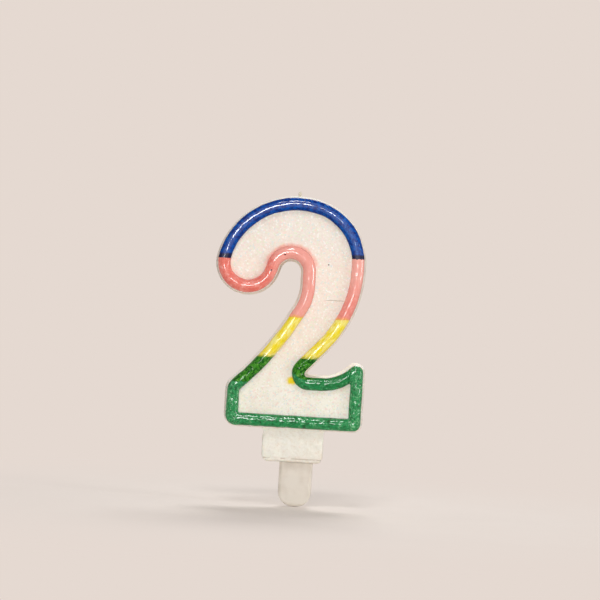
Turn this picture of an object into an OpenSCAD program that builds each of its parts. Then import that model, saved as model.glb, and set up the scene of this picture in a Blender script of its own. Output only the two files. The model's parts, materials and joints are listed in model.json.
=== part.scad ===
// Number candle in the shape of a two.
// A white wax digit with a foot, a half-round border of coloured wax piped along the edge
// of its face, a wick folded down behind the top, and a plastic stake pushed into the foot.
// Millimetres. The digit stands along +Z and faces -Y. The origin is the middle of the stake
// where it comes out of the foot's underside.

/* [Digit] */
// Height of the digit, from the bottom of its base to the top of its arch
digit_h = 79; // [72:0.5:90]
// Thickness of the white wax, from the face to the flat back
body_t = 9; // [7:0.5:14]
// How far the sides flare outwards from the face to the back
draft = 0.8; // [0.2:0.1:1.1]
// Radius of the edge round the back
back_edge_r = 0.6; // [0.3:0.1:1]

/* [Arch and hook] */
// Radius of the arch
arch_r = 27.4; // [26:0.2:29]
// How far the middle of the arch stands left of the middle of the base
arch_shift = 2.1; // [0:0.1:4]
// Radius of the tighter bend at the arch's upper right
crown_r = 21.8; // [20:0.2:24]
// Direction from the middle of the arch in which that bend takes over
crown_angle = 72; // [65:1:80]
// Radius of the right side below that bend
shoulder_r = 42; // [36:0.5:48]
// Direction from the middle of that bend in which the right side takes over
shoulder_angle = 3; // [0:1:6]
// Radius of the rounded end of the hook
hook_r = 10.5; // [9.8:0.1:11.2]
// Direction from the middle of the arch in which the hook takes over
hook_angle = 165; // [161:1:169]
// Radius of the hollow inside the hook
hollow_r = 4.2; // [3.8:0.1:5]
// Direction from the hook's end to the hollow
hollow_angle = -9; // [-13:0.5:-5]
// Length of the straight run between the hook's end and the hollow, as a gap of their circles
hollow_gap = 0.2; // [0.1:0.1:1]

/* [Diagonal] */
// Length of the straight run down from the hollow
neck_drop = 4.4; // [3:0.1:7]
// Radius of the bend from the hollow into the diagonal
neck_r = 15; // [11:0.5:19]
// Radius of the bow along the left edge of the diagonal
diagonal_r = 105; // [90:5:200]

/* [Base] */
// Width of the base
base_w = 46.5; // [43:0.5:50]
// Height of the base where its top edge is lowest
base_h = 17.8; // [16:0.2:19]
// Height of the straight left side of the base
base_side_h = 12; // [9:0.5:14]
// Height of the flick at the right end of the base
tip_h = 22.8; // [21:0.2:25]
// Radius of the curve that rises to the flick
dip_r = 14; // [11:0.5:18]
// How far the notch stands right of the middle of the base
notch_x = 4.3; // [2:0.1:6]
// Radius of the notch between the diagonal and the base
notch_r = 1.2; // [1.2:0.1:2]

/* [Border] */
// Width of the border, which is a half-round bead
bead_w = 4.5; // [3.4:0.1:5]
// Radius of the bead's middle line at the lower left corner
left_turn = 1.4; // [0.6:0.1:2.5]
// Radius of the bead's middle line at the corner above it
side_turn = 2.4; // [1:0.1:4]
// Radius of the bead's middle line at the lower right corner
right_turn = 0.4; // [0.2:0.1:1.5]
// Radius of the bead's middle line at the flick
tip_turn = 0.4; // [0.2:0.1:1]
// Height above the middle of the hook's end at which the blue ends on the left
blue_over_hook = 1; // [0:0.1:2]
// Height above the middle of the arch at which the blue ends on the right
blue_over_arch = 7.4; // [4:0.1:12]
// Height above the flick at which the green ends and the yellow starts
yellow_over_tip = 1.2; // [0.5:0.1:4]
// Height of the band of yellow
yellow_band_h = 14; // [8:0.5:16]

/* [Foot] */
// Width of the foot
foot_w = 21.3; // [18:0.1:26]
// How far the middle of the foot stands right of the middle of the base
foot_shift = 0.4; // [0:0.1:2]
// Height of the foot below the base
foot_h = 12; // [9:0.5:16]
// How far the foot's faces lie inside those of the digit
foot_step = 0.7; // [0.3:0.1:1.5]
// Radius of the foot's lower corners, seen from the front
foot_corner_r = 2.2; // [1:0.1:3.5]
// Radius of the foot's lower edges, seen from the side
foot_edge_r = 1.2; // [0.5:0.1:2]

/* [Stake] */
// Width of the stake
stake_w = 11.5; // [9:0.1:13]
// How far the stake stands right of the middle of the base
stake_shift = 2; // [0:0.1:3]
// Thickness of the stake
stake_t = 2.8; // [2:0.1:3.6]
// Length of the stake below the foot
stake_out = 15; // [12:0.5:40]
// Length of the stake inside the foot and the base
stake_in = 14; // [10:0.5:18]
// Width of the flat that is left at the stake's rounded lower end
stake_tip_flat = 0.7; // [0.3:0.1:5]
// Radius of the stake's upper corners
stake_top_r = 2; // [1.5:0.1:4]
// Radius of the stake's long edges
stake_edge_r = 1.2; // [0.5:0.1:1.3]
// Clearance all round the stake in its slot
stake_clear = 0.12; // [0.05:0.01:0.3]

/* [Wick] */
// Diameter of the wick
wick_d = 1.1; // [0.8:0.1:1.5]
// Length of the wick inside the wax
wick_in = 15; // [8:0.5:17]
// Radius of the fold over the top of the digit
wick_fold_r = 1.1; // [0.9:0.05:1.6]
// Length of the end that lies behind the digit
wick_tail = 6; // [3:0.5:10]
// Gap between that end and the back of the digit
wick_gap = 0.15; // [0.05:0.05:0.5]
// Clearance all round the wick in its hole
wick_clear = 0.03; // [0.01:0.01:0.1]

/* [Hidden] */
$fn = 64;

// How far a sampled arc may leave the true one
chord_error = 0.03;
// Flat steps across the bead's half-round section
bead_steps = 8;
// Runs shorter than this are left out
least_run = 0.02;
// How far a cutting shape reaches past what it cuts
past = 1;
// How far the flared rim reaches into the slab
rim_lap = 1;
// How deep the foot reaches into the base
foot_root = 2;
// The smallest radius that a corner keeps as the outline is moved
least_corner = 0.1;

bead_r = bead_w / 2;
face = body_t / 2;
foot_t = body_t - 2 * foot_step;
stake_tip_r = (stake_w - stake_tip_flat) / 2;
base_x = -stake_shift;
foot_x = base_x + foot_shift;

// The outline is a belt run round circles, anticlockwise. Each entry is a centre and a signed
// radius: the belt turns left round a positive one and right round a negative one.
function polar(r, a) = r * [cos(a), sin(a)];

function square_of(v) = v * v;

// Centre of the circle of diagonal_r that touches the neck and the corner of the base
function bow_centre(neck, corner) =
    let (
        to_neck = diagonal_r - neck_r,
        to_corner = diagonal_r + corner[1],
        d = corner[0] - neck[0],
        gap = norm(d),
        spread = acos((square_of(to_neck) + square_of(gap) - square_of(to_corner))
            / (2 * to_neck * gap))
    )
    neck[0] + polar(to_neck, atan2(d.y, d.x) - spread);

right_r = bead_r + right_turn;
left_r = bead_r + left_turn;
side_r = bead_r + side_turn;
tip_r = bead_r + tip_turn;

lower_left = [[-base_w / 2 + left_r, left_r], left_r];
lower_right = [[base_w / 2 - right_r, right_r], right_r];
tip = [[base_w / 2 - tip_r, tip_h - tip_r], tip_r];
dip_rise = base_h + dip_r - tip[0].y;
dip = [
    [tip[0].x - sqrt(square_of(dip_r + tip_r) - square_of(dip_rise)), base_h + dip_r], -dip_r
];
notch = [[notch_x, base_h + notch_r], -notch_r];
arch = [[-arch_shift, digit_h - arch_r], arch_r];
crown = [arch[0] + polar(arch_r - crown_r, crown_angle), crown_r];
shoulder = [crown[0] + polar(crown_r - shoulder_r, shoulder_angle), shoulder_r];
hook = [arch[0] + polar(arch_r - hook_r, hook_angle), hook_r];
hollow = [hook[0] + polar(hook_r + hollow_r + hollow_gap, hollow_angle), -hollow_r];
neck = [hollow[0] + [hollow_r - neck_r, -neck_drop], -neck_r];
side = [[-base_w / 2 + side_r, base_side_h], side_r];
bow = [bow_centre(neck, side), -diagonal_r];

digit_belt = [
    lower_left, lower_right, tip, dip, notch, shoulder, crown, arch, hook, hollow, neck, bow, side
];

// Places in the belt at which a stretch of border starts, and that of the flick
at_tip = 2;
at_notch = 4;
at_shoulder = 5;
at_hook = 8;
at_neck = 10;
at_bow = 11;

// Heights above the base at which the colours meet
blue_left_z = hook[0].y + blue_over_hook;
blue_right_z = arch[0].y + blue_over_arch;
yellow_bottom_z = tip_h + yellow_over_tip;
yellow_top_z = yellow_bottom_z + yellow_band_h;

function next(belt, i) = (i + 1) % len(belt);
function previous(belt, i) = (i + len(belt) - 1) % len(belt);
function wrap(a) = a - 360 * floor(a / 360);
function within_one(v) = max(-1, min(1, v));

// Direction of the straight run from circle i to the next
function heading(belt, i) =
    let (a = belt[i], b = belt[next(belt, i)], d = b[0] - a[0])
    atan2(d.y, d.x) + asin(within_one((a[1] - b[1]) / norm(d)));

// Where a run with heading h touches a circle
function touch(circle, h) = circle[0] + circle[1] * [sin(h), -cos(h)];

// Turn of the belt round circle i, negative to the right
function turn(belt, i) =
    let (t = heading(belt, i) - heading(belt, previous(belt, i)))
    belt[i][1] > 0 ? wrap(t) : -wrap(-t);

// The straight run after circle i
function run_start(belt, i) = touch(belt[i], heading(belt, i));
function run_length(belt, i) =
    norm(touch(belt[next(belt, i)], heading(belt, i)) - run_start(belt, i));

// The belt moved outwards, with every inside corner kept
function grown(belt, by) = [
    for (k = belt) [k[0], k[1] > 0 ? k[1] + by : min(k[1] + by, -least_corner)]
];

// The flick's circle with radius r, when the outline is moved inwards
function tip_inside(by, r) =
    let (x = base_w / 2 - by - r)
    [[x, dip[0].y - sqrt(square_of(dip_r + by + r) - square_of(x - dip[0].x))], r];

// Circle i of the digit's belt moved inwards: a corner that would vanish slides along its mitre
function mitred(i, by) =
    let (
        k = digit_belt[i],
        r = k[1] - by,
        half = turn(digit_belt, i) / 2,
        along = heading(digit_belt, previous(digit_belt, i)) + half + 90
    )
    k[1] < 0 || r >= least_corner ? [k[0], r]
    : i == at_tip ? tip_inside(by, least_corner)
    : [k[0] + polar((least_corner - r) / cos(half), along), least_corner];

// The digit's belt moved outwards, or inwards by a negative amount
function moved(by) =
    by > 0 ? grown(digit_belt, by) : [for (i = [0 : len(digit_belt) - 1]) mitred(i, -by)];

// Steps in which the arc round a circle is sampled
function arc_steps(belt, i) =
    let (r = belt[i][1] > 0 ? belt[i][1] : bead_w - belt[i][1])
    max(1, ceil(abs(turn(belt, i)) / (2 * acos(1 - chord_error / r))));

// Points round count circles of a belt, sampled alike for every belt moved from the same source
function belt_points(belt, source, first, count) = [
    for (n = [first : first + count - 1])
        let (
            i = n % len(belt),
            steps = arc_steps(source, i),
            last = run_length(source, i) < least_run && n < first + count - 1 ? steps - 1 : steps,
            start = heading(belt, previous(belt, i)),
            sweep = turn(belt, i)
        )
        for (j = [0 : last]) touch(belt[i], start + sweep * j / steps)
];

function closed_points(belt, source) = belt_points(belt, source, 0, len(belt));

// Turns a shape drawn in X and Y, and raised along Z, to stand up and face -Y
module stand(x = 0, z = 0) {
    translate([x, 0, z]) rotate([90, 0, 0]) children();
}

// A solid through a row of loops, each a list of the same number of points
module loft(loops, closed = false) {
    n = len(loops[0]);
    all = len(loops) * n;
    ends = closed ? [] : [[for (i = [0 : n - 1]) i], [for (i = [0 : n - 1]) all - 1 - i]];
    sides = [
        for (k = [0 : len(loops) - (closed ? 1 : 2)]) for (i = [0 : n - 1])
            let (a = k * n + i, b = k * n + (i + 1) % n, c = (b + n) % all, d = (a + n) % all)
            each [[c, b, a], [d, c, a]]
    ];
    polyhedron([for (loop = loops) each loop], concat(ends, sides));
}

// The border bead round count circles of the digit's belt: each line along it is the outline
// moved inwards, so the bead follows the edge and its inner side mitres at the corners
module bead(first, count) {
    lines = [
        for (k = [0 : bead_steps])
            let (a = 180 * k / bead_steps)
            [
                for (p = belt_points(moved(bead_r * (cos(a) - 1)), digit_belt, first, count))
                    [p.x, p.y, face + bead_r * sin(a)]
            ]
    ];
    stand(base_x, foot_h)
        loft([for (j = [0 : len(lines[0]) - 1]) [for (k = [bead_steps : -1 : 0]) lines[k][j]]]);
}

// Keeps the part of a border inside an outline given in X and in height above the base
module inside(outline) {
    intersection() {
        children();
        stand(base_x, foot_h) linear_extrude(face + bead_w) polygon(outline);
    }
}

// A band between two heights, right of x
function band(low, high, x = -digit_h) = [[x, low], [digit_h, low], [digit_h, high], [x, high]];

// A band whose edge steps from one height to another at x
function stepped(x, left, right, far) = [
    [-digit_h, left], [x, left], [x, right], [digit_h, right], [digit_h, far], [-digit_h, far]
];

// A rectangle across the Y axis with its lower and its upper corners rounded
module rounded(w, low, high, r_low, r_high) {
    translate([-w / 2, low + r_low]) square([w, high - low - r_low - r_high]);
    translate([r_low - w / 2, low]) square([w - 2 * r_low, 2 * r_low]);
    for (x = [-1, 1]) translate([x * (w / 2 - r_low), low + r_low]) circle(r_low);
    if (r_high > 0) {
        translate([r_high - w / 2, high - 2 * r_high]) square([w - 2 * r_high, 2 * r_high]);
        for (x = [-1, 1]) translate([x * (w / 2 - r_high), high - r_high]) circle(r_high);
    }
}

module foot() {
    top = foot_h + foot_root;
    intersection() {
        stand(foot_x) translate([0, 0, -foot_t]) linear_extrude(2 * foot_t)
            rounded(foot_w, 0, top, foot_corner_r, 0);
        rotate([90, 0, 90]) translate([0, 0, foot_x - foot_w]) linear_extrude(2 * foot_w)
            rounded(foot_t, 0, top, foot_edge_r, 0);
    }
}

// The stake, grown by a clearance: its front, its side and its section all cut it
module stake_shape(clear) {
    w = stake_w + 2 * clear;
    t = stake_t + 2 * clear;
    low = -stake_out - clear;
    high = stake_in + clear;
    edge = stake_edge_r + clear;
    intersection() {
        stand() translate([0, 0, -t]) linear_extrude(2 * t)
            rounded(w, low, high, stake_tip_r + clear, stake_top_r + clear);
        rotate([90, 0, 90]) translate([0, 0, -w]) linear_extrude(2 * w)
            rounded(t, low, high, edge, edge);
        translate([0, 0, low - past]) linear_extrude(high - low + 2 * past)
            rounded(w, -t / 2, t / 2, edge, edge);
    }
}

// The flared rim of the digit, with its rounded back edge, swept along the outline
module rim() {
    section = [
        [-rim_lap, face],
        [0, face],
        for (a = [0, 45, 90])
            [draft - back_edge_r * (1 - cos(a)), back_edge_r * (1 - sin(a)) - face],
        [-rim_lap, -face]
    ];
    lines = [
        for (s = section) [for (p = closed_points(moved(s[0]), digit_belt)) [p.x, p.y, s[1]]]
    ];
    loft([for (j = [0 : len(lines[0]) - 1]) [for (line = lines) line[j]]], true);
}

module digit() {
    stand(base_x, foot_h) {
        translate([0, 0, -face]) linear_extrude(body_t)
            polygon(closed_points(moved(-rim_lap / 2), digit_belt));
        rim();
    }
}

wick_x = base_x + arch[0].x;
wick_tail_y = face + wick_gap + wick_d / 2;
wick_stem_y = wick_tail_y - 2 * wick_fold_r;
wick_fold_z = foot_h + digit_h + draft;

module wick_stem(d, from_z) {
    translate([wick_x, wick_stem_y, from_z]) cylinder(d = d, h = wick_fold_z - from_z);
}

module wax_body() {
    color("ivory") difference() {
        union() {
            digit();
            foot();
        }
        stake_shape(stake_clear);
        wick_stem(wick_d + 2 * wick_clear, foot_h + digit_h - wick_in);
    }
}

module blue_border() {
    color("royalblue") inside(stepped(arch[0].x, blue_left_z, blue_right_z, 2 * digit_h))
        bead(at_shoulder, 4);
}

module pink_border_right() {
    color("lightcoral") inside(band(yellow_top_z, blue_right_z, arch[0].x)) bead(at_notch, 3);
}

module yellow_border_right() {
    color("gold") inside(band(yellow_bottom_z, yellow_top_z)) bead(at_notch, 2);
}

module green_border() {
    color("seagreen") inside(band(-past, yellow_bottom_z)) bead(at_bow, 8);
}

module yellow_border_left() {
    color("gold") inside(band(yellow_bottom_z, yellow_top_z)) bead(at_neck, 2);
}

module pink_border_hook() {
    color("lightcoral") inside(stepped(hook[0].x, blue_left_z, 2 * digit_h, yellow_top_z))
        bead(at_hook, 4);
}

module wick() {
    color("wheat") {
        wick_stem(wick_d, foot_h + digit_h - wick_in);
        translate([wick_x, wick_tail_y - wick_fold_r, wick_fold_z]) rotate([90, 0, 90])
            rotate_extrude(angle = 180) translate([wick_fold_r, 0]) circle(d = wick_d);
        translate([wick_x, wick_tail_y, wick_fold_z - wick_tail])
            cylinder(d = wick_d, h = wick_tail);
    }
}

module stake() {
    color("whitesmoke") stake_shape(0);
}

wax_body();
blue_border();
pink_border_right();
yellow_border_right();
green_border();
yellow_border_left();
pink_border_hook();
wick();
stake();
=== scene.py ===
import json
import math

import bpy
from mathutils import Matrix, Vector

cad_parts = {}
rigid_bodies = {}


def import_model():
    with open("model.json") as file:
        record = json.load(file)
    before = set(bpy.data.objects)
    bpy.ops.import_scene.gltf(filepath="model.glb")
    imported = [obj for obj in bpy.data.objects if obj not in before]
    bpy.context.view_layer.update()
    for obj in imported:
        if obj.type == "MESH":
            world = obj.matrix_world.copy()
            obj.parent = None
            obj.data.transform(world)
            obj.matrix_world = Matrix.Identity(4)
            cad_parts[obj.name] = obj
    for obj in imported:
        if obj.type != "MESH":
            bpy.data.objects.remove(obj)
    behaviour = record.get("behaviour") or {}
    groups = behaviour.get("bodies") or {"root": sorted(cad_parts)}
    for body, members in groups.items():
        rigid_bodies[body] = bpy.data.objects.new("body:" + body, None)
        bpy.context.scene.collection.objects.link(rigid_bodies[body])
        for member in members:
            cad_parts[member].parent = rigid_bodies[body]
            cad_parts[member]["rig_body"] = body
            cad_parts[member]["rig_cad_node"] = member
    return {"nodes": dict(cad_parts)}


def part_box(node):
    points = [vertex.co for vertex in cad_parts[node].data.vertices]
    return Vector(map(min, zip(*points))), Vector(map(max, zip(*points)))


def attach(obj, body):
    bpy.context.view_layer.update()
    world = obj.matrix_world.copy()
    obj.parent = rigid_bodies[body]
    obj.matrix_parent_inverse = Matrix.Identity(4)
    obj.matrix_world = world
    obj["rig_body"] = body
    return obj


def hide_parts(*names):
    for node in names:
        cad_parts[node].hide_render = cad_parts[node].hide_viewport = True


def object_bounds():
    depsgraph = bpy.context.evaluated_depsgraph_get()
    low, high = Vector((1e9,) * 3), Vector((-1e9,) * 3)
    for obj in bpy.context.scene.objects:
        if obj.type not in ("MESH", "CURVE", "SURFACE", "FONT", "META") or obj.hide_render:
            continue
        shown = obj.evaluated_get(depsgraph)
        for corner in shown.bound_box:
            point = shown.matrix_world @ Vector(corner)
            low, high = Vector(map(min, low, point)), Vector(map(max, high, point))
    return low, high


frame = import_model()
cadLow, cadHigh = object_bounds()
mm = 0.001
mergeReach = 0.01 * mm  # corners of a solid that lie closer than this are one
greenLow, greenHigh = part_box("green_border")
digitMiddle = (greenLow.x + greenHigh.x) / 2  # places on the digit count from the middle of its base
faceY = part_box("wax_body")[0].y  # the plane of the white face


def pick(*objects):  # these selected and nothing else, the first one active
    bpy.ops.object.select_all(action="DESELECT")
    for obj in objects:
        obj.select_set(True)
    bpy.context.view_layer.objects.active = objects[0]


def copyNodes(pieceName, *nodeNames):  # free copies of CAD nodes, joined and merged into one mesh
    pick(*[frame["nodes"][name] for name in nodeNames])
    bpy.ops.object.duplicate()
    bpy.ops.object.parent_clear(type="CLEAR")
    copies = list(bpy.context.selected_objects)
    pick(*copies)
    if len(copies) > 1:
        bpy.ops.object.join()
    made = bpy.context.view_layer.objects.active
    made.name = made.data.name = pieceName
    made.data.materials.clear()
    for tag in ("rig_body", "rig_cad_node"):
        del made[tag]
    bpy.ops.object.mode_set(mode="EDIT")
    bpy.ops.mesh.select_all(action="SELECT")
    bpy.ops.mesh.remove_doubles(threshold=mergeReach)
    bpy.ops.object.mode_set(mode="OBJECT")
    return made


def chooseFaces(obj, test):  # leaves the object in edit mode with the tested faces selected
    pick(obj)
    bpy.ops.object.mode_set(mode="EDIT")
    bpy.ops.mesh.select_mode(type="FACE")
    bpy.ops.mesh.select_all(action="DESELECT")
    bpy.ops.object.mode_set(mode="OBJECT")
    for face in obj.data.polygons:
        face.select = test(face)
    bpy.ops.object.mode_set(mode="EDIT")


def rise(value, low, high):  # 0 below low, 1 above high, straight between
    return min(1, max(0, (value - low) / (high - low)))


def paint(obj, groupName, weightOf):  # a vertex group, weighted by place
    group = obj.vertex_groups.new(name=groupName)
    for vertex in obj.data.vertices:
        weight = weightOf(vertex.co)
        if weight > 0:
            group.add([vertex.index], weight, "REPLACE")
    return group.name


def applyTool(obj, kind, **settings):  # one modifier, set and applied
    pick(obj)
    tool = obj.modifiers.new(kind.title(), kind)
    for name, value in settings.items():
        setattr(tool, name, value)
    bpy.ops.object.modifier_apply(modifier=tool.name)


def soften(obj, passes, **settings):  # rounds edges off
    applyTool(obj, "SMOOTH", factor=0.5, iterations=passes, **settings)


def evenMesh(obj, shape):  # a fine, even mesh with softened edges
    applyTool(obj, "REMESH", mode="VOXEL", voxel_size=shape["voxel"])
    soften(obj, shape["softening"])


def addLumps(obj, textureName, lumps, **settings):  # uneven, hand-worked wax
    texture = bpy.data.textures.new(textureName, "CLOUDS")
    texture.noise_scale = lumps["size"]
    texture.noise_depth = lumps["detail"]
    applyTool(obj, "DISPLACE", texture=texture, texture_coords="LOCAL", strength=lumps["depth"],
              mid_level=lumps["level"], **settings)


def press(obj, groupName, weightOf, depth):  # pushes the weighted part in
    group = paint(obj, groupName, weightOf)
    applyTool(obj, "DISPLACE", strength=-depth, mid_level=0, vertex_group=group)


def seat(obj, body, slot, material, *nodes):  # finish, body and the CAD nodes it stands for
    obj.data.materials.clear()
    obj.data.materials.append(material)
    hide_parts(*nodes)
    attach(obj, body)


# Shader maths: a wire is a socket, and an expression on wires adds Math nodes.
class Wire:
    def __init__(self, tree, socket):
        self.tree = tree
        self.socket = socket

    def make(self, kind, settings=None, inputs=None, output=0):
        node = self.tree.nodes.new(kind)
        for name, value in (settings or {}).items():
            setattr(node, name, value)
        for name, value in (inputs or {}).items():
            self.feed(node.inputs[name], value)
        return Wire(self.tree, node.outputs[output])

    def feed(self, target, value):
        if isinstance(value, Wire):
            self.tree.links.new(value.socket, target)
        else:
            target.default_value = value

    def sum(self, operation, first, second):
        return self.make("ShaderNodeMath", {"operation": operation}, {0: first, 1: second})

    def __add__(self, other):
        return self.sum("ADD", self, other)

    def __radd__(self, other):
        return self.sum("ADD", other, self)

    def __sub__(self, other):
        return self.sum("SUBTRACT", self, other)

    def __rsub__(self, other):
        return self.sum("SUBTRACT", other, self)

    def __mul__(self, other):
        return self.sum("MULTIPLY", self, other)

    def __rmul__(self, other):
        return self.sum("MULTIPLY", other, self)

    def __abs__(self):
        return self.sum("ABSOLUTE", self, 0.0)


def ink(red, green, blue):  # a colour as seen on a screen, 0 to 255, made linear
    def linear(level):
        share = level / 255
        return share / 12.92 if share <= 0.04045 else ((share + 0.055) / 1.055) ** 2.4
    return (linear(red), linear(green), linear(blue), 1.0)


def startMaterial(name):  # gives the place on the digit too, counted from the middle of its base
    material = bpy.data.materials.new(name)
    material.use_nodes = True
    tree = material.node_tree
    origin = Wire(tree, None).make("ShaderNodeTexCoord", {}, {}, "Object")
    return material, tree.nodes["Principled BSDF"], vectorSum("SUBTRACT", origin, (digitMiddle, 0, 0))


def split(place):
    return [place.make("ShaderNodeSeparateXYZ", {}, {0: place}, axis) for axis in "XYZ"]


def noise(place, size, detail=3.0, roughness=0.55, output="Fac"):  # 0 to 1, lumps of about this size
    inputs = {"Vector": place, "Scale": 1 / size, "Detail": detail, "Roughness": roughness}
    return place.make("ShaderNodeTexNoise", {}, inputs, output)


def ease(value, low, high):  # 0 below low, 1 above high, soft between; low above high turns it round
    inputs = {"Value": value, "From Min": low, "From Max": high}
    return value.make("ShaderNodeMapRange", {"interpolation_type": "SMOOTHSTEP"}, inputs)


def step(value, edge):  # 0 below the edge and 1 above it
    return ease(value, edge - 0.01, edge + 0.01)


def mix(below, above, amount):
    return amount.make("ShaderNodeMix", {"data_type": "RGBA"}, {0: amount, 6: below, 7: above}, 2)


def vectorSum(operation, first, second, output=0):
    return first.make("ShaderNodeVectorMath", {"operation": operation}, {0: first, 1: second}, output)


def length(offset):
    return vectorSum("LENGTH", offset, (0, 0, 0), "Value")


def spot(place, centre, size, soft):  # a soft ellipsoid, 1 in its middle, measured in millimetres
    offset = vectorSum("SUBTRACT", place, [value * mm for value in centre])
    return ease(length(vectorSum("DIVIDE", offset, [value * mm for value in size])), 1.0, 1.0 - soft)


def fromAxis(place, x, z):  # offset from an axis that runs from front to back, x and z in millimetres
    return vectorSum("SUBTRACT", place, (x * mm, 0, z * mm))


def radius(place, x, z):  # distance from such an axis
    return length(vectorSum("MULTIPLY", fromAxis(place, x, z), (1, 0, 1)))


def wobble(place, size, amount):  # the place, shifted about by soft noise
    centred = vectorSum("SUBTRACT", noise(place, size, 2.0, output="Color"), (0.5, 0.5, 0.5))
    return vectorSum("ADD", place, vectorSum("MULTIPLY", centred, (amount, amount, amount)))


def brushed(place, lean, size, draw):  # noise drawn out along a stroke, its lean in degrees
    inputs = {"Vector": place, "Rotation": (0, math.radians(-lean), 0), "Scale": (draw, 1, 1)}
    return noise(place.make("ShaderNodeMapping", {"vector_type": "TEXTURE"}, inputs), size, 5.0, 0.65)


def roundStrokes(place, centre, reach, size, draw):  # noise drawn out round an axis, at this reach
    across, depth, up = split(fromAxis(place, *centre))
    turn = up.sum("ARCTAN2", up, across) * (reach / draw)
    inputs = {"X": turn, "Y": depth, "Z": radius(place, *centre)}
    return noise(place.make("ShaderNodeCombineXYZ", {}, inputs), size, 5.0, 0.65)


def bump(height, strength, distance):
    inputs = {"Strength": strength, "Distance": distance, "Height": height}
    return height.make("ShaderNodeBump", {}, inputs)


def setShader(shader, place, links, fixed):
    for name, value in {**links, **fixed}.items():
        place.feed(shader.inputs[name], value)


# Where one colour of the border gives way to the next, taken from the nodes.
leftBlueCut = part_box("blue_border")[0].z
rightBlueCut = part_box("pink_border_right")[1].z
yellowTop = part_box("yellow_border_left")[1].z
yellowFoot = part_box("yellow_border_left")[0].z
diagonalLean = 52  # degrees, how far the strokes on the diagonal lean

whiteLook = {
    "cream": ink(245, 231, 218),       # the diagonal and the hook
    "ivory": ink(248, 243, 230),       # the base
    "pearl": ink(238, 230, 221),       # the top of the arch
    "footTone": ink(243, 239, 228),
    "footFade": (10 * mm, 13 * mm),    # the heights between which one tone gives way to the next
    "creamFade": (24 * mm, 44 * mm),
    "pearlFade": (66 * mm, 82 * mm),
    "shade": ink(230, 215, 198),       # cloudy patches in the wax
    "patchSize": 7 * mm,
    "bloom": ink(255, 250, 241),       # pale bloom between finer ones
    "mottleSize": 0.8 * mm,
    "flakeSize": 0.5 * mm,
    "flakeShare": 0.29,
    "flakeTints": {"pink": ink(247, 220, 211), "grey": ink(222, 230, 226),
                   "lime": ink(231, 238, 208), "white": ink(255, 252, 246)},
    "grit": ink(196, 180, 162),
    "gritSize": 0.7 * mm,
    "blush": ink(243, 160, 142),       # pink that has run on to the face
    "hollowAt": (-3.7, 65.6),          # x and z on the digit, in millimetres
    "hollowEdge": (10.2 * mm, 8.6 * mm),
    "hollowHeights": (65 * mm, 71 * mm),
    "hookAt": (-18.4, 68.0),
    "hookInside": (4.8 * mm, 6.2 * mm),
    "hookEdge": (8 * mm, 7 * mm),
    "hookHeights": (69 * mm, 64 * mm),
    "smear": ink(252, 220, 0),         # a drop of yellow beside the notch
    "smearAt": (-1.2, -4.5, 28.3),     # x, y and z, and a size each way, in millimetres
    "smearSize": (2.3, 6, 1.9),
    "speck": ink(96, 78, 70),
    "speckAt": (9.1, -4.5, 68.6),
    "speckSize": (0.34, 2, 0.3),
    "crack": ink(176, 156, 134),       # a fine line across the right of the stroke; its tint is also the painted shade in the foot's lip
    "crackHeight": 57.2 * mm,
    "crackWander": 1.6 * mm,
    "crackWaves": 6 * mm,
    "crackWidth": (0.26 * mm, 0.06 * mm),
    "crackStart": (7.8 * mm, 9.8 * mm),
    "crackEnd": (16.5 * mm, 14 * mm),
    "lipShadeWidth": (0.32 * mm, 0.08 * mm),  # painted shade along the line pressed into the foot near its lower edge
    "lipShadeBreaks": 4 * mm,
    "lipShadeFront": (-0.5 * mm, -2.5 * mm),
    "grainSize": 1.1 * mm,
    "grainHeight": 0.09 * mm,
    "frontFade": (0.9 * mm, 0.3 * mm),  # behind the plane of the face
    "faceRoughness": 0.38,
    "sideRoughness": 0.7,              # the sides and the back are duller
}


def glitter(place, look):  # where the flakes lie, the tint of each and how it leans
    inputs = {"Vector": place, "Scale": 1 / look["flakeSize"]}
    cells = place.make("ShaderNodeTexVoronoi", {}, inputs, "Color")
    parts = [cells.make("ShaderNodeSeparateColor", {}, {0: cells}, part) for part in range(3)]
    chance, hue, lean = parts
    tints = look["flakeTints"]
    pinkOrGrey = mix(tints["pink"], tints["grey"], step(hue, 0.25))
    limeOrWhite = mix(tints["lime"], tints["white"], step(hue, 0.75))
    return step(chance, 1 - look["flakeShare"]), mix(pinkOrGrey, limeOrWhite, step(hue, 0.5)), lean


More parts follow.
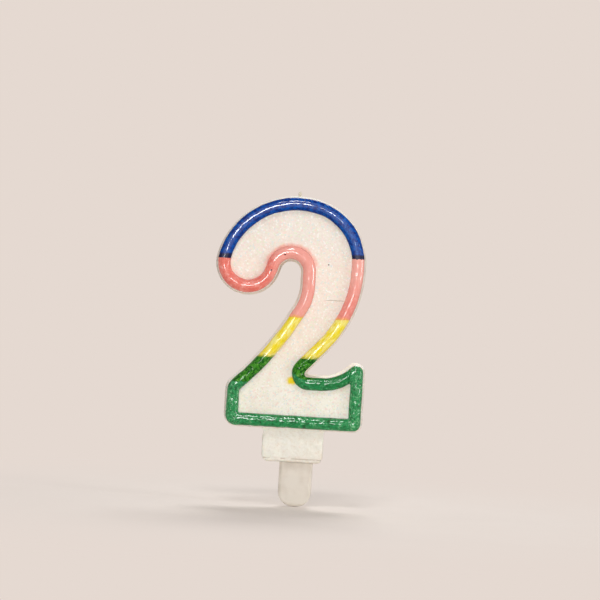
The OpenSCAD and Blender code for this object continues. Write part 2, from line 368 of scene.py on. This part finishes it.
def whiteWax(look, lipHeight):
    material, shader, place = startMaterial("whiteWax")
    x, y, z = split(place)
    aboveFoot = ease(z, *look["footFade"])  # the foot is plain wax
    front = ease(y - faceY, *look["frontFade"])
    tone = mix(look["ivory"], look["cream"], ease(z, *look["creamFade"]))
    tone = mix(tone, look["pearl"], 0.8 * ease(z, *look["pearlFade"]))
    tone = mix(look["footTone"], tone, aboveFoot)
    tone = mix(tone, look["shade"], 0.35 * ease(noise(place, look["patchSize"], 5.0), 0.48, 0.75))
    mottle = noise(place, look["mottleSize"], 4.0, 0.75)
    tone = mix(tone, look["shade"], 0.75 * ease(mottle, 0.47, 0.3))
    tone = mix(tone, look["bloom"], 0.5 * ease(mottle, 0.5, 0.66))
    flakes, tint, lean = glitter(place, look)
    isFlake = flakes * aboveFoot
    tone = mix(tone, tint, 0.65 * isFlake)
    tone = mix(tone, look["grit"], 0.35 * ease(noise(place, look["gritSize"], 2.0), 0.74, 0.8))
    # Painted shade: the lip pressed into the foot is darkened in broken dashes, on the front only.
    unbroken = ease(noise(place, look["lipShadeBreaks"], 2.0), 0.46, 0.6)
    lip = ease(abs(z - lipHeight), *look["lipShadeWidth"]) * unbroken
    tone = mix(tone, look["crack"], 0.5 * lip * ease(y, *look["lipShadeFront"]))
    loose = wobble(place, 3 * mm, 1.2 * mm)
    fromHollow, fromHook = radius(loose, *look["hollowAt"]), radius(loose, *look["hookAt"])
    hollowHalo = ease(fromHollow, *look["hollowEdge"]) * ease(z, *look["hollowHeights"])
    hookRing = ease(fromHook, *look["hookInside"]) * ease(fromHook, *look["hookEdge"])
    hookHalo = hookRing * ease(z, *look["hookHeights"])
    tone = mix(tone, look["blush"], (0.75 * hollowHalo + 0.3 * hookHalo) * front)
    smear = spot(wobble(place, 2 * mm, 1.4 * mm), look["smearAt"], look["smearSize"], 0.6)
    tone = mix(tone, look["smear"], smear * front)
    uneven = z + look["crackWander"] * noise(place, look["crackWaves"])
    line = ease(abs(uneven - look["crackHeight"]), *look["crackWidth"])
    crack = line * ease(x, *look["crackStart"]) * ease(x, *look["crackEnd"]) * front
    tone = mix(tone, look["crack"], 0.6 * crack)
    tone = mix(tone, look["speck"], spot(place, look["speckAt"], look["speckSize"], 0.5))
    grain = noise(place, look["grainSize"], 5.0, 0.6)
    height = 0.6 * grain + 0.3 * isFlake * lean - 0.8 * crack
    matt = look["sideRoughness"] + (look["faceRoughness"] - look["sideRoughness"]) * front
    links = {
        "Base Color": tone,
        "Roughness": matt + 0.2 * grain - 0.2 * isFlake,
        "Normal": bump(height, 0.5, look["grainHeight"]),
    }
    fixed = {"Subsurface Weight": 0.25, "Subsurface Radius": (1.0, 0.7, 0.5),
             "Subsurface Scale": 1.2 * mm, "IOR": 1.45, "Specular IOR Level": 0.25}
    setShader(shader, place, links, fixed)
    return material


beadFinish = {"fineSize": 0.5 * mm, "grainHeight": 0.08 * mm, "coatRoughness": 0.12,
              "sideShadeFade": (-1.6 * mm, -0.2 * mm)}  # in front of the plane of the face


def glossyWax(shader, place, look, tone, grain, coat):  # shared finish of the border
    polish = look["polish"]  # from 0 to 1
    height = 0.6 * grain + 0.25 * noise(place, beadFinish["fineSize"], 4.0, 0.6)
    links = {
        "Base Color": tone,
        "Roughness": 0.34 - 0.26 * polish + 0.12 * grain,
        "Normal": bump(height, 0.75 - 0.55 * polish, beadFinish["grainHeight"]),
        "Coat Weight": coat,
    }
    fixed = {"Subsurface Weight": 0.08, "Subsurface Radius": (1.0, 0.6, 0.4),
             "Subsurface Scale": 0.5 * mm, "IOR": 1.45, "Specular IOR Level": 0.05,
             "Coat Roughness": beadFinish["coatRoughness"], "Coat IOR": look["coatIndex"]}
    setShader(shader, place, links, fixed)


def beadSideShade(y):  # painted shade: 1 along the two sides of the bead, where it meets the face, 0 over its crown
    return ease(y - faceY, *beadFinish["sideShadeFade"])


def ragged(place, z, size, amount, detail=3.0):  # the height, shifted up and down by soft noise
    return z + amount * (noise(place, size, detail) - 0.5)


# edge: dark strokes round the arch, and the painted shade along the bead's sides
blueLook = {"deep": ink(0, 42, 126), "mid": ink(0, 84, 178), "light": ink(36, 122, 204),
            "edge": ink(0, 22, 88), "overlap": ink(24, 20, 46),
            "grainSize": 1.3 * mm, "crumbSize": 0.8 * mm,
            "archAt": (-1.2, 66.5), "archRadius": 24 * mm, "strokeSize": 0.8 * mm, "strokeDraw": 2.5,
            "rubbedFade": (-4 * mm, 12 * mm), "endWaves": 1.8 * mm, "endWander": 0.9 * mm,
            "leftEnd": (1.9 * mm, 1.2 * mm), "leftSide": (-10 * mm, -12 * mm),
            "rightEnd": (1.7 * mm, 1.1 * mm), "rightSide": (10 * mm, 12 * mm),
            "crownFade": (0.55 * mm, 0.2 * mm),
            "polish": 1.0, "crownCoat": 1.0, "sideCoat": 0.08, "coatIndex": 1.75}


def blueWax(look):
    material, shader, place = startMaterial("blueWax")
    x, y, z = split(place)
    grain = noise(place, look["grainSize"], 5.0, 0.7)
    stroke = roundStrokes(place, look["archAt"], look["archRadius"], look["strokeSize"],
                          look["strokeDraw"])
    tone = mix(look["deep"], look["mid"], ease(grain, 0.4, 0.6))
    tone = mix(tone, look["edge"], 0.4 * ease(stroke, 0.46, 0.36))
    crumb = noise(place, look["crumbSize"], 3.0, 0.7)
    scuffsAndGlints = ease(crumb, 0.52, 0.66) * (0.15 + 0.75 * ease(x, *look["rubbedFade"]))  # more on the right
    tone = mix(tone, look["light"], 0.7 * scuffsAndGlints)
    # Painted shade along the bead's sides.
    tone = mix(tone, look["edge"], 0.7 * beadSideShade(y))
    # At both ends the blue lies over the pink and darkens.
    edge = ragged(place, z, look["endWaves"], look["endWander"])
    leftEnd = ease(edge - leftBlueCut, *look["leftEnd"]) * ease(x, *look["leftSide"])
    rightEnd = ease(edge - rightBlueCut, *look["rightEnd"]) * ease(x, *look["rightSide"])
    tone = mix(tone, look["overlap"], 0.9 * (leftEnd + rightEnd))
    onCrown = ease(y - cadLow.y, *look["crownFade"])  # the sides are duller
    coat = look["sideCoat"] + (look["crownCoat"] - look["sideCoat"]) * onCrown
    glossyWax(shader, place, look, tone, grain, coat)
    return material


# edge: painted shade along the bead's sides
pinkLook = {"coral": ink(234, 120, 106), "pale": ink(250, 186, 174), "deep": ink(214, 78, 74),
            "edge": ink(222, 88, 62), "orange": ink(242, 170, 70), "speck": ink(84, 20, 30),
            "grainSize": 1.5 * mm, "patchSize": 2.2 * mm, "speckSize": 0.8 * mm,
            "crumbs": (((-6.0, -6.0, 71.2), (0.45, 3, 0.36)), ((-10.4, -6.0, 65.6), (0.42, 3, 0.45))),
            "rightSide": (9 * mm, 12 * mm), "rightHeights": (54 * mm, 67 * mm),
            "hollowLeft": (-12 * mm, -7 * mm), "hollowRight": (9 * mm, 7 * mm),
            "seep": (1.1 * mm, 0.1 * mm), "seepWaves": 2 * mm, "seepWander": 2.4 * mm,
            "polish": 0.9, "coat": 1.0, "coatIndex": 1.5}


def pinkWax(look):
    material, shader, place = startMaterial("pinkWax")
    x, y, z = split(place)
    grain = noise(place, look["grainSize"], 5.0, 0.68)
    tone = mix(look["coral"], look["pale"], 0.55 * ease(grain, 0.44, 0.7))
    tone = mix(tone, look["deep"], 0.45 * ease(noise(place, look["patchSize"], 4.0), 0.52, 0.7))
    # The right side and the hollow are paler than the hook.
    rightSide = ease(x, *look["rightSide"]) * (0.25 + 0.5 * ease(z, *look["rightHeights"]))
    hollowSide = ease(x, *look["hollowLeft"]) * ease(x, *look["hollowRight"])
    tone = mix(tone, look["pale"], rightSide + 0.6 * hollowSide)
    # Painted shade along the bead's sides.
    tone = mix(tone, look["edge"], 0.4 * beadSideShade(y))
    edge = ragged(place, z, look["seepWaves"], look["seepWander"])
    seep = ease(edge - yellowTop, *look["seep"])  # yellow runs into it from below
    tone = mix(tone, look["orange"], 0.75 * seep)
    specks = 0.5 * ease(noise(place, look["speckSize"], 2.0), 0.74, 0.8)
    for centre, size in look["crumbs"]:
        specks = specks + spot(place, centre, size, 0.5)
    tone = mix(tone, look["speck"], specks)
    glossyWax(shader, place, look, tone, grain, look["coat"])
    return material


# pale: paler wax with painted highlight streaks; edge: painted shade along the bead's sides
yellowLook = {"full": ink(244, 222, 10), "pale": ink(255, 246, 160), "amber": ink(228, 184, 4),
              "edge": ink(208, 166, 0), "green": ink(112, 140, 16),
              "strokeSize": 1.5 * mm, "strokeDraw": 3.0, "patchSize": 1.8 * mm,
              "seep": (1.1 * mm, 0.2 * mm), "seepWaves": 1.5 * mm, "seepWander": 2.6 * mm,
              "polish": 0.9, "coat": 1.0, "coatIndex": 1.5}


def yellowWax(look):
    material, shader, place = startMaterial("yellowWax")
    y, z = split(place)[1:]
    grain = brushed(place, diagonalLean, look["strokeSize"], look["strokeDraw"])
    # Pale strokes along the run: partly uneven wax, partly painted highlight streaks.
    tone = mix(look["full"], look["pale"], 0.8 * ease(grain, 0.42, 0.64))
    tone = mix(tone, look["amber"], 0.3 * ease(noise(place, look["patchSize"], 4.0), 0.52, 0.68))
    # Painted shade along the bead's sides.
    tone = mix(tone, look["edge"], 0.5 * beadSideShade(y))
    edge = ragged(place, z, look["seepWaves"], look["seepWander"], 4.0)
    seep = ease(edge - yellowFoot, *look["seep"])  # green runs into it from below
    tone = mix(tone, look["green"], 0.75 * seep)
    glossyWax(shader, place, look, tone, grain, look["coat"])
    return material


# light: pale strokes in the wax, and the painted glints on the uprights; dark: dark grain, and the
# painted shade along the bead's sides
greenLook = {"base": ink(18, 142, 76), "light": ink(134, 206, 150), "dark": ink(0, 80, 32),
             "bottle": ink(0, 112, 46), "leaf": ink(60, 142, 28), "moss": ink(4, 84, 10),
             "sprout": ink(120, 180, 84),
             "strokeSize": 1.0 * mm, "strokeDraw": 1.6, "leafSize": 0.9 * mm, "leafDraw": 1.3,
             "crumbSize": 0.9 * mm, "glintSize": 0.7 * mm,
             "besideNotch": ((4.0, -5, 33.6), (6.6, 20, 5.4)),  # middle and size, in millimetres
             "underNotch": ((11.0, -5, 30.4), (9.4, 20, 4.6)),
             "endFade": (18.2 * mm, 19.2 * mm), "flowSize": 2 * mm, "flowAmount": 1.2 * mm,
             "diagonalHeights": (26.6 * mm, 27.6 * mm), "diagonalSide": (-4 * mm, -8 * mm),
             "polish": 0.85, "coat": 0.85, "barCoat": 0.6, "diagonalCoat": 0.3, "coatIndex": 1.5}


def greenWax(look):
    material, shader, place = startMaterial("greenWax")
    x, y = split(place)[:2]
    upright = ease(abs(x), *look["endFade"])  # the two ends of the base
    flow = wobble(place, look["flowSize"], look["flowAmount"])
    flowX, flowZ = split(flow)[::2]
    diagonal = ease(flowZ, *look["diagonalHeights"]) * ease(flowX, *look["diagonalSide"])
    slanted = ease(diagonal + spot(flow, *look["besideNotch"], 0.25), 0.2, 0.8)
    bar = spot(flow, *look["underNotch"], 0.4) * (1 - slanted)
    across = brushed(place, 0, look["strokeSize"], look["strokeDraw"])
    along = brushed(place, 90, look["strokeSize"], look["strokeDraw"])
    level = across * (1 - upright) + along * upright
    leafGrain = brushed(place, diagonalLean, look["leafSize"], look["leafDraw"])
    grain = level * (1 - slanted) + leafGrain * slanted
    crumb = noise(place, look["crumbSize"], 3.0, 0.7)
    # Painted glints: small pale spots on the two uprights of the base.
    scuffsAndGlints = upright * ease(noise(place, look["glintSize"], 3.0, 0.7), 0.52, 0.64)
    tone = mix(look["base"], look["light"], 0.65 * ease(grain, 0.54, 0.68))
    tone = mix(tone, look["dark"], 0.8 * ease(grain, 0.47, 0.35))
    tone = mix(tone, look["dark"], 0.6 * ease(crumb, 0.5, 0.62))
    tone = mix(tone, look["light"], 0.65 * scuffsAndGlints)
    tone = mix(tone, look["bottle"], 0.5 * bar)
    leafy = mix(look["moss"], look["leaf"], ease(grain, 0.42, 0.58))
    leafy = mix(leafy, look["sprout"], 0.75 * ease(crumb, 0.56, 0.66))
    tone = mix(tone, leafy, slanted)
    # Painted shade along the bead's sides.
    tone = mix(tone, look["dark"], 0.5 * beadSideShade(y))
    coat = look["coat"] * (1 - slanted - bar) + look["barCoat"] * bar + look["diagonalCoat"] * slanted
    glossyWax(shader, place, look, tone, grain, coat)
    return material


stakeLook = {"tone": ink(228, 220, 208), "cloud": ink(216, 206, 192), "cloudSize": 6 * mm,
             "grainSize": 0.35 * mm, "grainHeight": 0.02 * mm, "coat": 0.6, "coatRoughness": 0.12}


def stakePlastic(look):
    material, shader, place = startMaterial("stakePlastic")
    cloud = noise(place, look["cloudSize"])
    links = {
        "Base Color": mix(look["tone"], look["cloud"], ease(cloud, 0.4, 0.7)),
        "Roughness": 0.2 + 0.1 * cloud,
        "Normal": bump(noise(place, look["grainSize"]), 0.12, look["grainHeight"]),
    }
    fixed = {"Subsurface Weight": 0.15, "Subsurface Radius": (1.0, 0.9, 0.8),
             "Subsurface Scale": 0.8 * mm, "IOR": 1.5,
             "Coat Weight": look["coat"], "Coat Roughness": look["coatRoughness"]}
    setShader(shader, place, links, fixed)
    return material


wickLook = {"cotton": ink(240, 232, 214), "shade": ink(204, 190, 164), "fibreSize": 0.08 * mm,
            "fibreScale": (1.0, 1.0, 0.25), "fibreHeight": 0.04 * mm}


def wickCotton(look):
    material, shader, place = startMaterial("wickCotton")
    drawnOut = place.make("ShaderNodeMapping", {}, {"Vector": place, "Scale": look["fibreScale"]})
    fibre = noise(drawnOut, look["fibreSize"])
    links = {
        "Base Color": mix(look["shade"], look["cotton"], ease(fibre, 0.3, 0.65)),
        "Roughness": 0.7 + 0.2 * fibre,
        "Normal": bump(fibre, 0.6, look["fibreHeight"]),
    }
    setShader(shader, place, links, {"Sheen Weight": 0.3})
    return material


# Wax body: the casting with its foot, edges softened and faces a little uneven.
bodyShape = {
    "voxel": 0.34 * mm, "softening": 3,
    "faceLumps": {"size": 11 * mm, "detail": 2, "depth": 0.16 * mm, "level": 0.85},
    "footTop": 11.4 * mm, "footFade": 0.6 * mm, "footSoftening": 9,
    "footLumps": {"size": 2.6 * mm, "detail": 3, "depth": 0.7 * mm, "level": 0.8},
    "cornerSoftening": 30, "cornerFade": (1 * mm, 3 * mm), "slotFade": (1 * mm, 2 * mm),
    "lipHeight": 1.5 * mm, "lipReach": 0.45 * mm, "lipDepth": 0.18 * mm,
}
stakeLow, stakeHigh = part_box("stake")


def footWeight(point):
    return rise(bodyShape["footTop"] - point.z, 0, bodyShape["footFade"])


def cornerWeight(point):  # 1 on the outer corners of the foot, 0 by the slot and under the base
    middle, half = (stakeLow + stakeHigh) / 2, (stakeHigh - stakeLow) / 2
    fromSlot = max(abs(point.x - middle.x) - half.x, abs(point.y - middle.y) - half.y)
    fromTop = bodyShape["footTop"] - point.z
    return rise(fromSlot, *bodyShape["slotFade"]) * rise(fromTop, *bodyShape["cornerFade"])


def lipWeight(point):
    return 1 - abs(point.z - bodyShape["lipHeight"]) / bodyShape["lipReach"]


waxBody = copyNodes("waxBody", "wax_body")
evenMesh(waxBody, bodyShape)
addLumps(waxBody, "faceLumps", bodyShape["faceLumps"])
footPart = paint(waxBody, "foot", footWeight)
soften(waxBody, bodyShape["footSoftening"], vertex_group=footPart)
corners = paint(waxBody, "corners", cornerWeight)
soften(waxBody, bodyShape["cornerSoftening"], vertex_group=corners)
addLumps(waxBody, "footLumps", bodyShape["footLumps"], vertex_group=footPart)
press(waxBody, "lip", lipWeight, bodyShape["lipDepth"])
waxBody.vertex_groups.clear()
pick(waxBody)
bpy.ops.object.shade_smooth()
seat(waxBody, "candle", "white_wax", whiteWax(whiteLook, bodyShape["lipHeight"]), "wax_body")
print("wax body:", len(waxBody.data.polygons), "faces")

# Border: all runs as one uneven bead, then cut where the colours change so that the runs meet exactly.
borderShape = {
    "voxel": 0.2 * mm, "softening": 9,
    "backward": 0.9,                     # how squarely a face of the flat back looks backwards
    "sink": 1.0 * mm,                    # how far that back goes into the wax body
    "swell": {"size": 7 * mm, "detail": 2, "depth": 0.4 * mm, "level": 0.45},
    "dents": {"size": 3.2 * mm, "detail": 3, "depth": 0.08 * mm, "level": 0.5},
    "strokeDents": {"size": 2.0 * mm, "detail": 3, "depth": 0.3 * mm, "level": 0.5},
    "strokeFade": 1.5 * mm,
    "crownFade": (-0.1 * mm, 1.0 * mm),  # in front of the face
    "creaseReach": 0.55 * mm, "creaseDepth": 0.45 * mm,
    "rootFade": (0.1 * mm, 0.35 * mm),   # behind the face
    "tuck": 0.4 * mm,
    "clearance": 0.02 * mm,              # between the crown and the front of the CAD box
    "smoothAngle": 55,
}
creases = {  # where one green stroke laps another, as x and z of its two ends in millimetres
    "flick": ((18.3, 28.2), (18.3, 33.4)),
    "notch": ((3.6, 30.4), (0.2, 28.9)),
    "yellowEnd": ((2.4, 34.0), (7.6, 35.9)),
    "baseLapTop": ((13.6, 16.9), (11.9, 15.2)),
    "baseLapFoot": ((11.9, 15.2), (12.2, 13.0)),
}
borderNodes = ("blue_border", "pink_border_right", "yellow_border_right", "green_border",
               "yellow_border_left", "pink_border_hook")


def onDigit(x, z):  # a place in millimetres from the middle of the base
    return Vector((digitMiddle + x * mm, 0, z * mm))


def creaseWeight(point):
    flat = Vector((point.x, 0, point.z))
    nearest = borderShape["creaseReach"]
    for start, end in creases.values():
        first, last = onDigit(*start), onDigit(*end)
        run = last - first
        share = min(1, max(0, (flat - first).dot(run) / run.length_squared))
        nearest = min(nearest, (flat - first - share * run).length)
    return 1 - nearest / borderShape["creaseReach"]


def crownWeight(point):  # 0 where the bead meets the face, 1 over its crown
    return rise(faceY - point.y, *borderShape["crownFade"])


def strokeWeight(point):  # the same on the green run alone
    return crownWeight(point) * rise(yellowFoot - point.z, 0, borderShape["strokeFade"])


def lapWeight(point):
    return crownWeight(point) * creaseWeight(point)


def rootWeight(point):  # the part of the bead behind the face
    return rise(point.y - faceY, *borderShape["rootFade"])


borderBead = copyNodes("greenBorder", *borderNodes)
chooseFaces(borderBead, lambda face: face.normal.y > borderShape["backward"])
bpy.ops.transform.translate(value=(0, borderShape["sink"], 0))
bpy.ops.object.mode_set(mode="OBJECT")
evenMesh(borderBead, borderShape)
addLumps(borderBead, "beadSwell", borderShape["swell"])
crown = paint(borderBead, "crown", crownWeight)
addLumps(borderBead, "beadDents", borderShape["dents"], vertex_group=crown)
strokes = paint(borderBead, "strokes", strokeWeight)
addLumps(borderBead, "strokeDents", borderShape["strokeDents"], vertex_group=strokes)
press(borderBead, "laps", lapWeight, borderShape["creaseDepth"])
press(borderBead, "root", rootWeight, borderShape["tuck"])  # it draws in, clear of the rim
borderBead.vertex_groups.clear()
frontMost = min(vertex.co.y for vertex in borderBead.data.vertices)
crownY = cadLow.y + borderShape["clearance"]
fit = (crownY - faceY) / (frontMost - faceY)  # brings the crown back to the solid's own height
pick(borderBead)
bpy.ops.object.mode_set(mode="EDIT")
bpy.ops.mesh.select_all(action="SELECT")
bpy.ops.transform.resize(value=(1, fit, 1), center_override=(0, faceY, 0))
for cut in (leftBlueCut, rightBlueCut, yellowTop, yellowFoot):
    bpy.ops.mesh.select_all(action="SELECT")
    bpy.ops.mesh.bisect(plane_co=(0, 0, cut), plane_no=(0, 0, 1))
bpy.ops.object.mode_set(mode="OBJECT")

# The digit's white stroke, as far as it tells the runs of the border apart.
strokePath = {"start": -2.8 * mm, "slope": 0.686, "limit": 8 * mm,
              "archAt": (-2.1, 63.6), "archReach": 16 * mm}
archCentre = onDigit(*strokePath["archAt"])


def middleLine(z):  # the middle of the white stroke, between its left and right border
    climb = strokePath["start"] + strokePath["slope"] * (z - yellowFoot)
    return digitMiddle + min(strokePath["limit"], climb)


def runOf(centre):
    if centre.z < yellowFoot:
        return "greenBorder"
    right = centre.x > middleLine(centre.z)
    if centre.z < yellowTop:
        return "yellowBorderRight" if right else "yellowBorderLeft"
    outer = (Vector((centre.x, 0, centre.z)) - archCentre).length > strokePath["archReach"]
    if outer and centre.z > (rightBlueCut if right else leftBlueCut):
        return "blueBorder"
    return "pinkBorderRight" if right else "pinkBorderHook"


borderRuns = {
    "blueBorder": ("blue_wax", "blue_border"),
    "pinkBorderRight": ("pink_wax", "pink_border_right"),
    "yellowBorderRight": ("yellow_wax", "yellow_border_right"),
    "yellowBorderLeft": ("yellow_wax", "yellow_border_left"),
    "pinkBorderHook": ("pink_wax", "pink_border_hook"),
    "greenBorder": ("green_wax", "green_border"),
}
borderFinish = {"blue_wax": blueWax(blueLook), "pink_wax": pinkWax(pinkLook),
                "yellow_wax": yellowWax(yellowLook), "green_wax": greenWax(greenLook)}
for runName, (slot, node) in borderRuns.items():
    run = borderBead
    if runName != "greenBorder":  # green is what is left of the bead at the end
        chooseFaces(borderBead, lambda face: runOf(face.center) == runName)
        bpy.ops.mesh.separate(type="SELECTED")
        bpy.ops.object.mode_set(mode="OBJECT")
        run = next(obj for obj in bpy.context.selected_objects if obj is not borderBead)
        run.name = run.data.name = runName
    pick(run)
    bpy.ops.object.mode_set(mode="EDIT")
    bpy.ops.mesh.select_mode(type="EDGE")
    bpy.ops.mesh.select_all(action="DESELECT")
    bpy.ops.mesh.select_non_manifold(use_wire=False, use_multi_face=False, use_non_contiguous=False,
                                     use_verts=False)
    bpy.ops.mesh.fill_holes(sides=0)
    bpy.ops.object.mode_set(mode="OBJECT")
    bpy.ops.object.shade_smooth_by_angle(angle=math.radians(borderShape["smoothAngle"]))
    seat(run, "candle", slot, borderFinish[slot], node)
    print(runName + ":", len(run.data.polygons), "faces")

# Wick: three cotton strands laid round each other, up through the top and folded down the back.
wickLow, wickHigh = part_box("wick")
wickShape = {"strands": 3, "strandShare": 0.52, "lay": 3.4 * mm, "tail": 6 * mm,
             "flare": 0.25 * mm, "flareLength": 1.2 * mm,
             "points": 150, "sides": 3, "smoothAngle": 60}
wickRadius = (wickHigh.x - wickLow.x) / 2
strandRadius = wickRadius * wickShape["strandShare"]
foldRadius = (wickHigh.y - wickLow.y) / 2 - wickRadius
stemTop = wickHigh.z - wickRadius - foldRadius
stemLength = stemTop - wickLow.z
foldLength = math.pi * foldRadius
wickLength = stemLength + foldLength + wickShape["tail"]


def wickPoint(along):  # the middle of the wick and its two side directions
    middleX = (wickLow.x + wickHigh.x) / 2
    stemY = wickLow.y + wickRadius
    side = Vector((1, 0, 0))
    if along < stemLength:
        return Vector((middleX, stemY, wickLow.z + along)), side, Vector((0, 1, 0))
    if along < stemLength + foldLength:
        turn = (along - stemLength) / foldRadius
        out = Vector((0, -math.cos(turn), math.sin(turn)))
        return Vector((middleX, stemY + foldRadius, stemTop)) + foldRadius * out, side, -out
    down = along - stemLength - foldLength
    return Vector((middleX, stemY + 2 * foldRadius, stemTop - down)), side, Vector((0, -1, 0))


def strandPoint(strand, along):  # a point on the middle line of one strand
    centre, side, cross = wickPoint(along)
    angle = math.tau * (along / wickShape["lay"] + strand / wickShape["strands"])
    opening = rise(along, wickLength - wickShape["flareLength"], wickLength)  # the cut end opens
    loose = wickShape["flare"] * opening
    reach = wickRadius - strandRadius
    return centre + (reach + loose) * math.cos(angle) * side + reach * math.sin(angle) * cross


bpy.ops.object.select_all(action="DESELECT")
bpy.ops.curve.primitive_nurbs_path_add()
wick = bpy.context.object
wick.name = "wick_strands"
wick.data.splines.clear()
for strand in range(wickShape["strands"]):
    spline = wick.data.splines.new("POLY")
    spline.points.add(wickShape["points"] - 1)
    for index, point in enumerate(spline.points):
        point.co = (*strandPoint(strand, wickLength * index / (wickShape["points"] - 1)), 1)
wick.data.bevel_depth = strandRadius
wick.data.bevel_resolution = wickShape["sides"]
wick.data.use_fill_caps = True
pick(wick)
bpy.ops.object.convert(target="MESH")
bpy.ops.object.transform_apply(location=True, rotation=True, scale=True)
bpy.ops.object.shade_smooth_by_angle(angle=math.radians(wickShape["smoothAngle"]))
seat(wick, "candle", "wick_cotton", wickCotton(wickLook), "wick")
print("wick:", len(wick.data.polygons), "faces")

# Stake: the moulded tongue, with its edges eased.
stakeShape = {"voxel": 0.14 * mm, "softening": 40}
stake = copyNodes("stakeTongue", "stake")
evenMesh(stake, stakeShape)
pick(stake)
bpy.ops.object.shade_smooth()
seat(stake, "stake", "stake_plastic", stakePlastic(stakeLook), "stake")
print("stake:", len(stake.data.polygons), "faces")

# Camera at the photo's angle: level, square to the face, with the candle leaning a little to the right.
cameraSet = {"width": 205.2 * mm, "distance": 0.9, "aim": (0.0, 56.0), "lean": 3.4,
             "sensor": 36.0, "near": 0.01}
cameraAim = onDigit(*cameraSet["aim"])
bpy.ops.object.camera_add(location=(cameraAim.x, faceY - cameraSet["distance"], cameraAim.z),
                          rotation=(math.radians(90), math.radians(-cameraSet["lean"]), 0))
camera = bpy.context.object
camera.data.sensor_width = cameraSet["sensor"]
camera.data.lens = cameraSet["sensor"] * cameraSet["distance"] / cameraSet["width"]
camera.data.clip_start = cameraSet["near"]
bpy.context.scene.camera = camera

# Soft studio light: a key by the camera, one lamp overhead, a strip on the right, one behind.
lamps = {  # each so many degrees right of the camera and above it, with its width and height in degrees
    "key": {"right": -6, "above": 10, "away": 1.2, "width": 14, "height": 12, "level": 21.5},
    "overhead": {"right": -6, "above": 55, "away": 0.7, "width": 14, "height": 11, "level": 19.0},
    "strip": {"right": 66, "above": 8, "away": 0.6, "width": 6, "height": 20, "level": 20.0},
    "back": {"right": 170, "above": 50, "away": 0.8, "width": 26, "height": 20, "level": 11.5},
}
lampAim = onDigit(0, 50)
for lampName, lamp in lamps.items():
    right, above = math.radians(lamp["right"]), math.radians(lamp["above"])
    toward = Vector((math.sin(right) * math.cos(above), -math.cos(right) * math.cos(above),
                     math.sin(above)))
    bpy.ops.object.light_add(type="AREA", location=lampAim + lamp["away"] * toward)
    light = bpy.context.object
    light.name = lampName
    light.rotation_euler = (-toward).to_track_quat("-Z", "Y").to_euler()
    light.data.shape = "RECTANGLE"
    light.data.size = 2 * lamp["away"] * math.tan(math.radians(lamp["width"] / 2))
    light.data.size_y = 2 * lamp["away"] * math.tan(math.radians(lamp["height"] / 2))
    light.data.energy = lamp["level"] * math.pi * light.data.size * light.data.size_y
print("lamps:", len(lamps))

# Room: a pale, even surround, and a floor that fades into it.
roomLook = {"pale": ink(229, 217, 209), "surround": 0.12, "floorTone": ink(245, 236, 229),
            "floorShade": ink(238, 228, 220), "floorPatches": 40 * mm,
            "floorRadius": 2.5, "floorSides": 96, "floorDrop": 0.1 * mm,
            "floorFade": (0.03, 0.2), "floorGlow": 0.25}


def inView(tree):  # 1 for rays from the camera, and through gloss and glass
    rays = ("Is Camera Ray", "Is Glossy Ray", "Is Transmission Ray")
    lit = [Wire(tree, None).make("ShaderNodeLightPath", {}, {}, ray) for ray in rays]
    return lit[0] + lit[1] + lit[2]


world = bpy.data.worlds.new("room")
bpy.context.scene.world = world
world.use_nodes = True
worldTree = world.node_tree
surround = worldTree.nodes["Background"]
surround.inputs["Color"].default_value = (1, 1, 1, 1)
surround.inputs["Strength"].default_value = roomLook["surround"]
seen = inView(worldTree)
shown = seen.make("ShaderNodeBackground", {}, {"Color": roomLook["pale"], "Strength": 1.0})
evenLight = Wire(worldTree, surround.outputs[0])
room = seen.make("ShaderNodeMixShader", {}, {0: seen, 1: evenLight, 2: shown})
worldTree.links.new(room.socket, worldTree.nodes["World Output"].inputs["Surface"])

bpy.ops.object.select_all(action="DESELECT")
bpy.ops.mesh.primitive_circle_add(vertices=roomLook["floorSides"], radius=roomLook["floorRadius"],
                                  fill_type="NGON", location=(0, 0, cadLow.z - roomLook["floorDrop"]))
floor = bpy.context.object
floor.name = "floor"
floorMaterial, floorShader, floorPlace = startMaterial("paleFloor")
patches = noise(floorPlace, roomLook["floorPatches"])
floorTone = mix(roomLook["floorTone"], roomLook["floorShade"], patches)
floorFixed = {"Roughness": 0.9, "Specular IOR Level": 0.1}
setShader(floorShader, floorPlace, {"Base Color": floorTone}, floorFixed)
fade = ease(length(floorPlace), *roomLook["floorFade"])
far = roomLook["floorGlow"] + (1 - roomLook["floorGlow"]) * fade
glow = far.make("ShaderNodeEmission", {}, {"Color": roomLook["pale"], "Strength": 1.0})
surface = Wire(floorPlace.tree, floorShader.outputs[0])
blended = far.make("ShaderNodeMixShader", {}, {0: far * inView(floorPlace.tree), 1: surface, 2: glow})
floorPlace.tree.links.new(blended.socket, floorPlace.tree.nodes["Material Output"].inputs["Surface"])
floor.data.materials.append(floorMaterial)
bpy.context.scene.view_settings.view_transform = "Standard"
